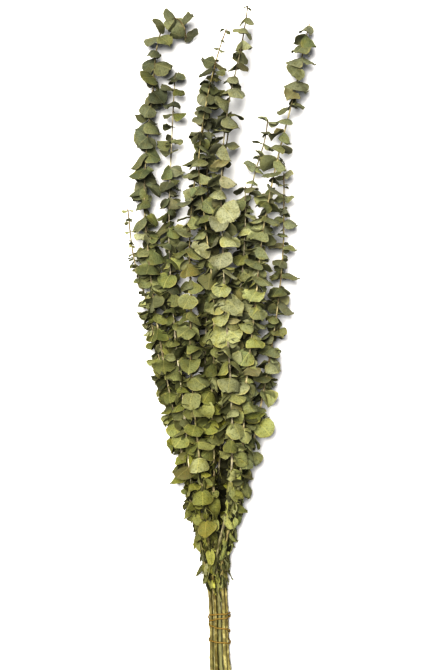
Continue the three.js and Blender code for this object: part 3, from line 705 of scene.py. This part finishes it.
def stem_plates(leafy, distances, turned, lean, roll, length, half_width, draw):
    """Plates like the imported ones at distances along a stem. Each is turned about the stem from its top
    side, leans towards the tip and rolls about its own length, in degrees. A place on it is a share of its
    length forward from its base and a share of its half width across, raised by the squares of both."""
    along, points, directions, halves, _ = middle_line(leafy)

    def at_distances(values):
        return np.stack([np.interp(distances, along, column) for column in values.T], axis=-1)

    middle = at_distances(points)
    upstem = unit(at_distances(directions))
    neck = np.interp(distances, along, halves)[:, None] + NECK
    aside = unit(np.cross(upstem, (0, 0, 1)))
    above = np.cross(aside, upstem)
    turned, lean, roll = (np.radians(angle)[:, None] for angle in (turned, lean, roll))
    out = above * np.cos(turned) + aside * np.sin(turned)
    forward = out * np.cos(lean) + upstem * np.sin(lean)
    level = unit(np.cross(upstem, out))
    across = level * np.cos(roll) + np.cross(forward, level) * np.sin(roll)
    facing = np.cross(forward, across)
    length, half_width = length[:, None, None], half_width[:, None, None]
    forth, wide = PLATE[:7, :1], PLATE[:7, 1:]
    one_each = (len(distances), 1, 1)
    rise = draw.uniform(*SIDES_RISE, one_each) * wide**2 - draw.uniform(*TIP_FALLS, one_each) * forth**2
    plate = ((middle + out * neck)[:, None] + forth * length * forward[:, None]
             + wide * half_width * across[:, None] + rise * half_width / BLADE_HALF_WIDTH * facing[:, None])
    low, high = np.array(cad_box) / MM
    in_box = (plate[..., 0] > low[0]) & (plate[..., 0] < high[0]) & (plate[..., 2] < high[2])
    cleft = np.array(CLEFT).T
    in_cleft = ((plate > cleft[0]) & (plate < cleft[1])).all(axis=2)
    there = (plate[..., 2].min(axis=1) > -FILL_BELOW) & in_box.all(axis=1) & ~in_cleft.any(axis=1)
    return {"rims": plate[there, :6], "middles": plate[there, 6], "facings": facing[there],
            "roots": (middle + out * ROOT_OUT)[there]}


def filling_leaves(leafy, share_kept, fill_from, fill_to, draw):
    """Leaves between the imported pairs. They grow fewer towards the tie and above the middle of the bunch."""
    along, points, _, _, reach = middle_line(leafy)
    pairs = pair_distances(leafy, reach)
    distances = np.repeat(np.concatenate([pairs[:-1] + np.diff(pairs) * share for share in FILL_BETWEEN]), 2)
    distances = distances + draw.uniform(-FILL_JITTER, FILL_JITTER, len(distances))
    y = np.interp(distances, along, points[:, 1])
    starting = np.clip((y - fill_from) / FILL_FADE, 0, 1)
    ending = np.clip((fill_to - y) / (fill_to - FILL_FULL_TO), 0, 1)
    kept = draw.random(len(distances)) < share_kept * (starting * ending)
    distances, y = distances[kept], y[kept]
    count = len(distances)
    growth = np.clip((along[-1] - distances) / FILL_GROWS_OVER, FILL_SMALLEST, 1)
    size = draw.uniform(*FILL_SIZE, count) * growth
    narrowed = np.clip((FILL_CRUSHED_FROM - y) / (FILL_CRUSHED_FROM - FILL_CRUSHED_TO), 0, 1)
    return stem_plates(
        leafy, distances, draw.uniform(*FILL_ROUND, count) * draw.choice([-1, 1], count),
        draw.uniform(*FILL_LEAN, count), draw.uniform(*FILL_ROLL, count), BLADE_LENGTH * size,
        BLADE_HALF_WIDTH * size * (1 - FILL_CRUSHED * narrowed), draw)


def distances_at(leafy, y):
    """Distances along a stem to places up the bunch, in its lower half, where no stem turns back."""
    along, points, *_ = middle_line(leafy)
    lower = points[:, 1] < 0
    return np.interp(y, points[lower, 1], along[lower])


def slivers(leafy, draw):
    """Narrow crushed leaves pressed along the stem, on all its sides."""
    y = draw.uniform(SLIVERS_FROM, SLIVERS_TO, SLIVERS)
    size = draw.uniform(*SLIVER_SIZE, SLIVERS)
    return stem_plates(
        leafy, distances_at(leafy, y), draw.uniform(-180, 180, SLIVERS), draw.uniform(*SLIVER_LEAN, SLIVERS),
        draw.uniform(*SLIVER_ROLL, SLIVERS), BLADE_LENGTH * size,
        BLADE_HALF_WIDTH * draw.uniform(*SLIVER_NARROW, SLIVERS), draw)


def cleft_leaves(leafy, side, draw):
    """Leaves that lie flat and low in the cleft, from a stem beside it. Other leaves shade them, and their
    colour is later painted nearly black as shade as well.
    """
    y = draw.uniform(CLEFT[1][0], CLEFT[1][1] + CLEFT_PAST, CLEFT_LEAVES)
    size = draw.uniform(*CLEFT_SIZE, CLEFT_LEAVES)
    return stem_plates(
        leafy, distances_at(leafy, y), side * draw.uniform(*CLEFT_ROUND, CLEFT_LEAVES),
        draw.uniform(*CLEFT_LEAN, CLEFT_LEAVES), side * draw.uniform(*CLEFT_ROLL, CLEFT_LEAVES),
        BLADE_LENGTH * size, BLADE_HALF_WIDTH * size, draw)


# Dried gum leaf: leathery and matte, with a bloom of wax that turns its olive green to sage. Age has
# yellowed it in patches and bleached its edge. The midrib and side veins are paler, and a net of veins
# dimples it.
SIDE_VEIN_GAP = 2.9
SIDE_VEIN_SLOPE = 0.8  # how far forward a side vein runs for each step outwards
WANDER_SIZE, WANDER = 7, 3.0  # how far a side vein runs before it wanders, and by how much
NET_CELL = 1.3
PATCH = 9
MOTTLE = 2.0
SPECK = 0.9
leaf_skin, tree, shader = new_material("dried gum leaf, waxy and matte")
blade_place, tint, own = (
    add(tree, "SeparateXYZ", links={0: add(tree, "Attribute", {"attribute_name": stored}).outputs["Vector"]})
    for stored in ("blade", "tint", "leaf_own"))
edge_share = blade_place.outputs["Z"]
place = add(tree, "TexCoord").outputs["Object"]

# The veins: a midrib, side veins that slant forward and wander, and a net between them.
outwards = add(tree, "Math", {"operation": "ABSOLUTE"}, {0: blade_place.outputs["X"]})
slanted = add(tree, "Math", {"operation": "MULTIPLY_ADD"}, {
    0: outwards, 1: -SIDE_VEIN_SLOPE, 2: blade_place.outputs["Y"]})
wander = add(tree, "TexNoise", links={"Vector": place, "Scale": 1 / (WANDER_SIZE * MM), "Detail": 1.0})
wandered = add(tree, "Math", {"operation": "MULTIPLY_ADD"}, {0: wander, 1: WANDER, 2: slanted})
from_vein = add(tree, "Math", {"operation": "PINGPONG"}, {0: wandered, 1: SIDE_VEIN_GAP / 2})
side_veins = add(tree, "MapRange", {"interpolation_type": "SMOOTHSTEP"}, {
    "Value": from_vein, "From Min": 0.32, "From Max": 0.05, "To Max": 0.6})
off_edge = add(tree, "MapRange", links={"Value": edge_share, "From Min": 1.0, "From Max": 0.8})
ended_veins = add(tree, "Math", {"operation": "MULTIPLY"}, {0: side_veins, 1: off_edge})
midrib = add(tree, "MapRange", {"interpolation_type": "SMOOTHSTEP"}, {
    "Value": outwards, "From Min": 0.6, "From Max": 0.2})
veins = add(tree, "Math", {"operation": "MAXIMUM"}, {0: midrib, 1: ended_veins})
net = add(tree, "TexVoronoi", {"feature": "DISTANCE_TO_EDGE"}, {
    "Vector": place, "Scale": 1 / (NET_CELL * MM)})
net_lines = add(tree, "MapRange", {"interpolation_type": "SMOOTHSTEP"}, {
    "Value": net, "From Min": 0.14, "From Max": 0.02})

# Its colour: sage to olive, paler where the wax is thick, then yellow patches, mottling, veins, edge, specks
# and browning.
patches = add(tree, "TexNoise", links={"Vector": place, "Scale": 1 / (PATCH * MM), "Detail": 3.0})
mottle = add(tree, "TexNoise", links={
    "Vector": place, "Scale": 1 / (MOTTLE * MM), "Detail": 4.0, "Roughness": 0.6})
specks = add(tree, "TexNoise", links={"Vector": place, "Scale": 1 / (SPECK * MM), "Detail": 1.0})
yellowed = add(tree, "Mix", {"data_type": "RGBA"}, {
    0: tint.outputs["X"], 6: linear("#68735a"), 7: linear("#7a7c3e")})
waxed = add(tree, "Mix", {"data_type": "RGBA"}, {0: tint.outputs["Y"], 6: yellowed, 7: linear("#989b82")})
patched = add(tree, "Mix", {"data_type": "RGBA"}, {
    0: add(tree, "MapRange", links={"Value": patches, "From Min": 0.45, "From Max": 0.7, "To Max": 0.55}),
    6: waxed, 7: linear("#7c7a42")})
mottled = add(tree, "Mix", {"data_type": "RGBA"}, {
    0: add(tree, "MapRange", links={"Value": mottle, "From Min": 0.52, "From Max": 0.32, "To Max": 0.58}),
    6: patched, 7: linear("#454a2a")})
netted = add(tree, "Mix", {"data_type": "RGBA"}, {
    0: add(tree, "Math", {"operation": "MULTIPLY"}, {0: net_lines, 1: 0.22}),
    6: mottled, 7: linear("#a3a26a")})
veined = add(tree, "Mix", {"data_type": "RGBA"}, {
    0: add(tree, "Math", {"operation": "MULTIPLY"}, {0: veins, 1: 0.36}),
    6: netted, 7: linear("#b3b07c")})
near_edge = add(tree, "MapRange", links={
    "Value": edge_share, "From Min": 0.84, "From Max": 1.0, "To Max": 0.55})
dried_edge = add(tree, "MapRange", links={"Value": patches, "From Min": 0.4, "From Max": 0.6})
edged = add(tree, "Mix", {"data_type": "RGBA"}, {
    0: add(tree, "Math", {"operation": "MULTIPLY"}, {0: near_edge, 1: dried_edge}),
    6: veined, 7: linear("#a8a274")})
specked = add(tree, "Mix", {"data_type": "RGBA"}, {
    0: add(tree, "MapRange", links={"Value": specks, "From Min": 0.68, "From Max": 0.78, "To Max": 0.5}),
    6: edged, 7: linear("#46371d")})
brown_parts = add(tree, "MapRange", links={"Value": mottle, "From Min": 0.3, "From Max": 0.6})
browned_share = add(tree, "Math", {"operation": "MULTIPLY"}, {0: brown_parts, 1: tint.outputs["Z"]})
browned = add(tree, "Mix", {"data_type": "RGBA"}, {0: browned_share, 6: specked, 7: linear("#6f5631")})
underside = add(tree, "Mix", {"data_type": "RGBA"}, {
    0: add(tree, "Math", {"operation": "MULTIPLY"}, {0: own.outputs["X"], 1: 0.4}),
    6: browned, 7: linear("#7f8264")})
shaded = add(tree, "HueSaturation", links={
    "Color": underside, "Value": own.outputs["Y"], "Saturation": own.outputs["Z"]})
tree.links.new(shaded.outputs[0], shader.inputs["Base Color"])
roughness = add(tree, "MapRange", links={
    "Value": mottle, "From Min": 0.2, "From Max": 0.9, "To Min": 0.58, "To Max": 0.82})
tree.links.new(roughness.outputs[0], shader.inputs["Roughness"])
shader.inputs["Specular IOR Level"].default_value = 0.3
vein_height = add(tree, "Math", {"operation": "MULTIPLY_ADD"}, {0: veins, 1: 0.5, 2: mottle})
relief = add(tree, "Math", {"operation": "MULTIPLY_ADD"}, {0: net_lines, 1: -0.25, 2: vein_height})
leaf_bump = add(tree, "Bump", links={"Height": relief, "Strength": 0.6, "Distance": 0.35 * MM})
tree.links.new(leaf_bump.outputs[0], shader.inputs["Normal"])

# How each stem's leaves have dried: how yellow and how pale with wax they are, up to 1, and how light. Those
# of a stem whose yellow is below 0 stay greener than others down the bunch.
YELLOWED = (0.35, 0.25, 0.25, 0.35, 0.9, 0.25, 0.9, 0.2, 0.6, -0.3, -0.3, -0.4)
BLOOM = (0.35, 0.12, 0.15, 0.4, 0.1, 0.3, 0.05, 0.8, 0.3, 0.3, 0.5, 0.45)
LIGHTNESS = (0.94, 0.9, 0.84, 0.94, 0.86, 0.88, 0.84, 1.0, 1.04, 1.16, 1.0, 0.93)
YELLOW_FROM, YELLOW_TO = 150, -160  # up the bunch, where leaves turn from sage to olive
YELLOW_SHARE = 0.55  # what the stem's number and the place down the bunch each count for
YELLOW_SPREAD = 0.16
BLOOM_ABOVE, BLOOM_LESS = 1.1, 0.5  # times the stem's number at the top, and how much less at the bottom
BLOOM_SPREAD = 0.18
BLOOM_MOST = 0.9
WAXIEST = 0.035  # share of leaves that are nearly white with wax
WAXIEST_LIGHTNESS = 1.08
BROWNED = 0.1  # share of leaves that have browned
BROWN_SHARE = (0.1, 0.42)  # of such a leaf
LIGHTNESS_SPREAD = 0.12
LIGHTNESS_LIMITS = (0.5, 1.3)
TOP_DARKER = 0.2  # share of their lightness that the leaves near the tips lack
TOP_FROM, TOP_FADE = 130, 120  # up the bunch
CRUSHED_FROM = -210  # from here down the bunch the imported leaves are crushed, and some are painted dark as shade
# A spread of the crushed leaves' own tone, and painted shade that darkens many of them for the gaps between
# them
CRUSHED_TONE_AND_PAINTED_SHADE = (0.35, 1.1)
SATURATION, SATURATION_MORE = 0.85, 0.22  # at the top of the bunch, and how much more at the bottom
SATURATION_SPREAD = 0.15

for number, name in enumerate(STEMS):
    draw = np.random.default_rng(LEAF_SEED + number)
    packed = leafy_stems[name]
    filling = filling_leaves(packed, FILL_SHARE[number], FILL_FROM[number], FILL_TO[number], draw)
    groups = [packed, filling, slivers(packed, draw)]
    if name in CLEFT_SIDES:
        groups.append(cleft_leaves(packed, CLEFT_SIDES[name], draw))
    leaves = {key: np.concatenate([group[key] for group in groups]) for key in filling}
    count = len(leaves["rims"])
    surface, blade, size = blade_grid(leaves, draw)
    skins = leaf_skins(surface, blade, size)
    piece = make_object(f"{name}_leaves", skins.reshape(-1, 3), leaf_faces(count).tolist(), [leaf_skin])

    y = leaves["middles"][:, 1]
    down = np.clip((YELLOW_FROM - y) / (YELLOW_FROM - YELLOW_TO), 0, 1)
    yellow = YELLOW_SHARE * (YELLOWED[number] + down) + draw.normal(0, YELLOW_SPREAD, count)
    bloom = BLOOM[number] * (BLOOM_ABOVE - BLOOM_LESS * down) + draw.normal(0, BLOOM_SPREAD, count)
    waxiest = draw.random(count) < WAXIEST
    bloom = np.where(waxiest, 1, np.clip(bloom, 0, BLOOM_MOST))
    brown = (draw.random(count) < BROWNED) * draw.uniform(*BROWN_SHARE, count)
    tints = np.stack([np.clip(yellow, 0, 1), bloom, brown], axis=-1)[:, None, None, None]
    value = np.clip(draw.normal(LIGHTNESS[number], LIGHTNESS_SPREAD, count), *LIGHTNESS_LIMITS)
    value *= np.where(waxiest, WAXIEST_LIGHTNESS, 1)
    value *= 1 - TOP_DARKER * np.clip((y - TOP_FROM) / TOP_FADE, 0, 1)
    first = len(packed["rims"])
    # Painted shade: the filling leaves, the slivers and the leaves in the cleft are darkened by these factors.
    for group, lightness in zip(groups[1:], (FILL_TONE_AND_PAINTED_SHADE, SLIVER_TONE_AND_PAINTED_SHADE, CLEFT_PAINTED_SHADE)):
        last = first + len(group["rims"])
        value[first:last] *= draw.uniform(*lightness, last - first)
        first = last
    # Painted shade, with a spread of tone: the packed leaves low on the bunch are darkened at random.
    low = (y < CRUSHED_FROM) & (np.arange(count) < len(packed["rims"]))
    value[low] *= draw.uniform(*CRUSHED_TONE_AND_PAINTED_SHADE, low.sum())
    value = value[:, None, None, None]
    saturation = SATURATION + SATURATION_MORE * down
    saturation = saturation + draw.uniform(-SATURATION_SPREAD, SATURATION_SPREAD, count)
    is_under = np.array([0, 1.0])[None, :, None, None]
    owns = np.stack(np.broadcast_arrays(is_under, value, saturation[:, None, None, None]), axis=-1)
    for stored, values in (("blade", blade[:, None]), ("tint", tints), ("leaf_own", owns)):
        store(piece, stored, np.broadcast_to(values, skins.shape))
    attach(piece, "root")
    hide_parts(name)


# ---- The rubber band
# One moulded amber rubber band, wound four times round the bare stems, which it grips. It is soft, so its
# edges are round, and it has a dull shine, with some dust on it.
BAND_FULLER = 0.22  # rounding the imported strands' corners thins them by about this much
band_solid = bmesh.new()
band_solid.from_mesh(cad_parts["rubber_band"].data)
bmesh.ops.remove_doubles(band_solid, verts=band_solid.verts, dist=WELD * MM)
slanting = [
    edge for edge in band_solid.edges
    if all(edge.calc_length() >= max(side.calc_length() for side in face.edges) for face in edge.link_faces)
]
bmesh.ops.dissolve_edges(band_solid, edges=slanting, use_verts=False)
band_mesh = bpy.data.meshes.new("rubber_band_wound")
band_solid.to_mesh(band_mesh)
band_solid.free()
band_mesh.polygons.foreach_set("use_smooth", np.ones(len(band_mesh.polygons), dtype=bool))
band = bpy.data.objects.new("rubber_band_wound", band_mesh)
bpy.context.collection.objects.link(band)
fuller = band.modifiers.new("fuller", "DISPLACE")
fuller.mid_level = 0
fuller.strength = BAND_FULLER * MM
rounding = band.modifiers.new("rounding", "SUBSURF")
rounding.levels = rounding.render_levels = 2

# Amber rubber: brownish yellow and faintly shiny, and greyer and duller in spots where dust clings to it.
DUST = 1.6
amber, tree, shader = new_material("amber rubber, moulded")
dust = add(tree, "TexNoise", links={
    "Vector": add(tree, "TexCoord").outputs["Object"], "Scale": 1 / (DUST * MM), "Detail": 3.0})
dusty = add(tree, "Mix", {"data_type": "RGBA"}, {
    0: add(tree, "MapRange", links={"Value": dust, "From Min": 0.4, "From Max": 0.7}),
    6: linear("#786125"), 7: linear("#80733f")})
tree.links.new(dusty.outputs[2], shader.inputs["Base Color"])
dulled = add(tree, "MapRange", links={
    "Value": dust, "From Min": 0.3, "From Max": 0.8, "To Min": 0.4, "To Max": 0.75})
tree.links.new(dulled.outputs[0], shader.inputs["Roughness"])
rubber_bump = add(tree, "Bump", links={"Height": dust, "Strength": 0.15, "Distance": 0.1 * MM})
tree.links.new(rubber_bump.outputs[0], shader.inputs["Normal"])
band_mesh.materials.clear()
band_mesh.materials.append(amber)
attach(band, "root")
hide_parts("rubber_band")
